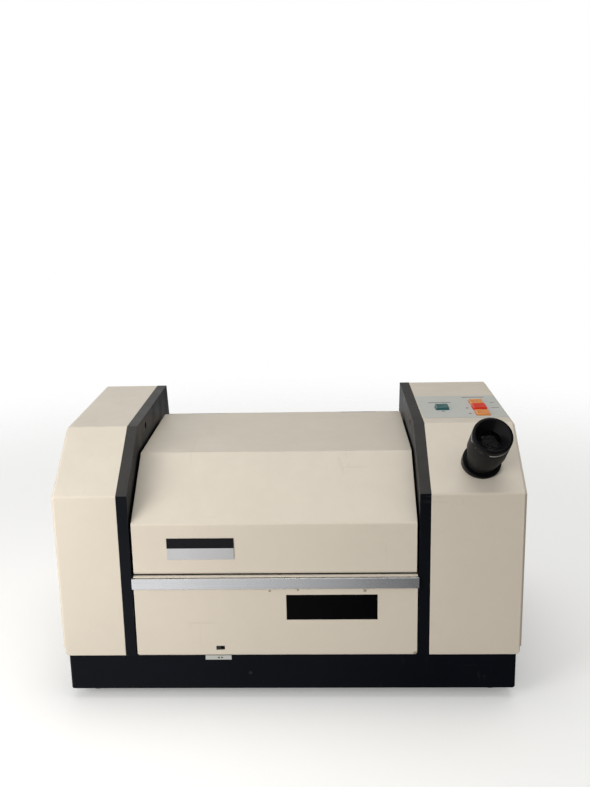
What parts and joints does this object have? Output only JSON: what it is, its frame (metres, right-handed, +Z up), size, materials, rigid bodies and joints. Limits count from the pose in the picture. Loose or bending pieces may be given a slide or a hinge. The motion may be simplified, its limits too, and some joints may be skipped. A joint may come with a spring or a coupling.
{
  "type": "polarimeter",
  "caption": "Bench polarimeter: two columns on a base, hinged hood over a sample chamber, display window, keys and a slanted eyepiece.",
  "frame": {"origin": "on the table, at the middle of the overall width and depth", "axes": "+Z up, -Y to the front where the operator sits, +X along the light path from the lamp to the eyepiece"},
  "size_m": [0.43, 0.3013, 0.273],
  "materials": {
    "base_paint": "blue-black baked paint, semi-gloss",
    "cheek_paint": "blue-black baked paint, satin",
    "cream_paint": "warm cream baked paint, satin",
    "foot_rubber": "moulded, matte",
    "dark_screws": "blackened steel",
    "case_screws": "zinc plated",
    "strip_metal": "brushed lengthwise, bright",
    "window_acrylic": "dark red acrylic, polished",
    "circuit_board": "green lacquer",
    "digit_plastic": "dark display face",
    "switch_plastic": "moulded",
    "chamber_paint": "matte black baked paint",
    "trough_metal": "black anodised",
    "black_anodised": "black anodised",
    "bearing_brass": "turned",
    "optical_glass": "polished",
    "polarising_sheet": "polished, grey tint",
    "yellow_glass": "polished, yellow tint",
    "lamp_glass": "frosted",
    "plain_aluminium": "milled",
    "mirror": "front silvered",
    "wheel_brass": "machined",
    "pinion_steel": "machined",
    "motor_steel": "plated can",
    "hinge_steel": "plated",
    "nameplate_metal": "satin, upper band black",
    "black_plastic": "moulded",
    "rocker_plastic": "moulded",
    "pin_brass": "nickel plated",
    "transformer_steel": "varnished laminations",
    "black_gloss": "polished black",
    "barrel_black": "matte, fine grain",
    "tube_metal": "turned, bright",
    "control_plate": "pale grey overlay",
    "green_plastic": "moulded",
    "red_plastic": "moulded",
    "orange_plastic": "moulded"
  },
  "bodies": {
    "chassis": {"base_tray": "base_paint", "left_cheek": "cheek_paint", "right_cheek": "cheek_paint", "left_cover": "cream_paint", "right_cover": "cream_paint", "left_side_plate": "cream_paint", "right_side_plate": "cream_paint", "front_panel": "cream_paint", "rear_panel": "cream_paint", "base_feet": "foot_rubber", "cap_screws": "dark_screws", "case_screws": "case_screws", "trim_strip": "strip_metal", "display_window": "window_acrylic", "display_board": "circuit_board", "display_digits": "digit_plastic", "slide_switch": "switch_plastic", "chamber_tray": "chamber_paint", "tube_trough": "trough_metal", "polariser_cell": "black_anodised", "analyser_bearing": "bearing_brass", "aperture_windows": "optical_glass", "half_shade_plate": "optical_glass", "polariser": "polarising_sheet", "condenser_lens": "optical_glass", "objective_lens": "optical_glass", "yellow_filter": "yellow_glass", "lamp": "lamp_glass", "lamp_bracket": "plain_aluminium", "drive_plate": "plain_aluminium", "telescope_block": "black_anodised", "fold_mirror": "mirror", "drive_motor": "motor_steel", "hinge_fixed_leaves": "hinge_steel", "hinge_pins": "hinge_steel", "power_inlet": "black_plastic", "fuse_holder": "black_plastic", "rocker_frame": "black_plastic", "inlet_pins": "pin_brass", "transformer": "transformer_steel", "main_board": "circuit_board", "key_board": "circuit_board", "eyepiece_collar": "black_gloss", "control_plate": "control_plate"},
    "hood_cover": {"hood": "cream_paint", "nameplate": "nameplate_metal", "hinge_hood_leaves": "hinge_steel"},
    "green_button": {"green_key": "green_plastic"},
    "rear_orange_button": {"rear_orange_key": "orange_plastic"},
    "red_button": {"red_key": "red_plastic"},
    "front_orange_button": {"front_orange_key": "orange_plastic"},
    "switch_knob": {"slide_knob": "switch_plastic"},
    "power_lever": {"power_rocker": "rocker_plastic"},
    "analyser": {"analyser_wheel": "wheel_brass", "analyser_polaroid": "polarising_sheet"},
    "pinion": {"motor_pinion": "pinion_steel"},
    "eyepiece_slide": {"lens_tube": "tube_metal", "eye_lens": "optical_glass"},
    "focus_ring": {"focus_barrel": "barrel_black", "eyecup": "black_gloss"}
  },
  "joints": [
    {"name": "hood_swing", "type": "hinge", "parent": "chassis", "child": "hood_cover", "pos_m": [-0.0133, 0.08492, 0.2195], "axis": [-1, 0, 0], "range_deg": [0, 100]},
    {"name": "green_key_press", "type": "slide", "parent": "chassis", "child": "green_button", "axis": [0, 0, -1], "range_m": [0, 0.0012], "stiffness_N_per_m": 400, "springref_m": -0.001},
    {"name": "rear_orange_key_press", "type": "slide", "parent": "chassis", "child": "rear_orange_button", "axis": [0, 0, -1], "range_m": [0, 0.0012], "stiffness_N_per_m": 400, "springref_m": -0.001},
    {"name": "red_key_press", "type": "slide", "parent": "chassis", "child": "red_button", "axis": [0, 0, -1], "range_m": [0, 0.0012], "stiffness_N_per_m": 400, "springref_m": -0.001},
    {"name": "front_orange_key_press", "type": "slide", "parent": "chassis", "child": "front_orange_button", "axis": [0, 0, -1], "range_m": [0, 0.0012], "stiffness_N_per_m": 400, "springref_m": -0.001},
    {"name": "switch_slide", "type": "slide", "parent": "chassis", "child": "switch_knob", "axis": [1, 0, 0], "range_m": [0, 0.0036]},
    {"name": "power_rocker_tip", "type": "hinge", "parent": "chassis", "child": "power_lever", "pos_m": [-0.0598, 0.14032, 0.086], "axis": [1, 0, 0], "range_deg": [0, 24]},
    {"name": "analyser_turn", "type": "hinge", "parent": "chassis", "child": "analyser", "pos_m": [0.144, -0.0513, 0.17383], "axis": [1, 0, 0], "continuous": true},
    {"name": "pinion_turn", "type": "hinge", "parent": "chassis", "child": "pinion", "pos_m": [0.1435, -0.0513, 0.11883], "axis": [1, 0, 0], "continuous": true},
    {"name": "eyepiece_extend", "type": "slide", "parent": "chassis", "child": "eyepiece_slide", "axis": [0.0698, -0.7054, 0.7054], "range_m": [0, 0.0045]},
    {"name": "focus_turn", "type": "hinge", "parent": "eyepiece_slide", "child": "focus_ring", "pos_m": [0.17894, -0.11831, 0.24084], "axis": [0.0698, -0.7054, 0.7054], "range_deg": [0, 270]}
  ],
  "couplings": [
    {"joint": "pinion_turn", "follows": "analyser_turn", "ratio": -4.5},
    {"joint": "focus_turn", "follows": "eyepiece_extend", "rad_per_m": 1047.2}
  ]
}
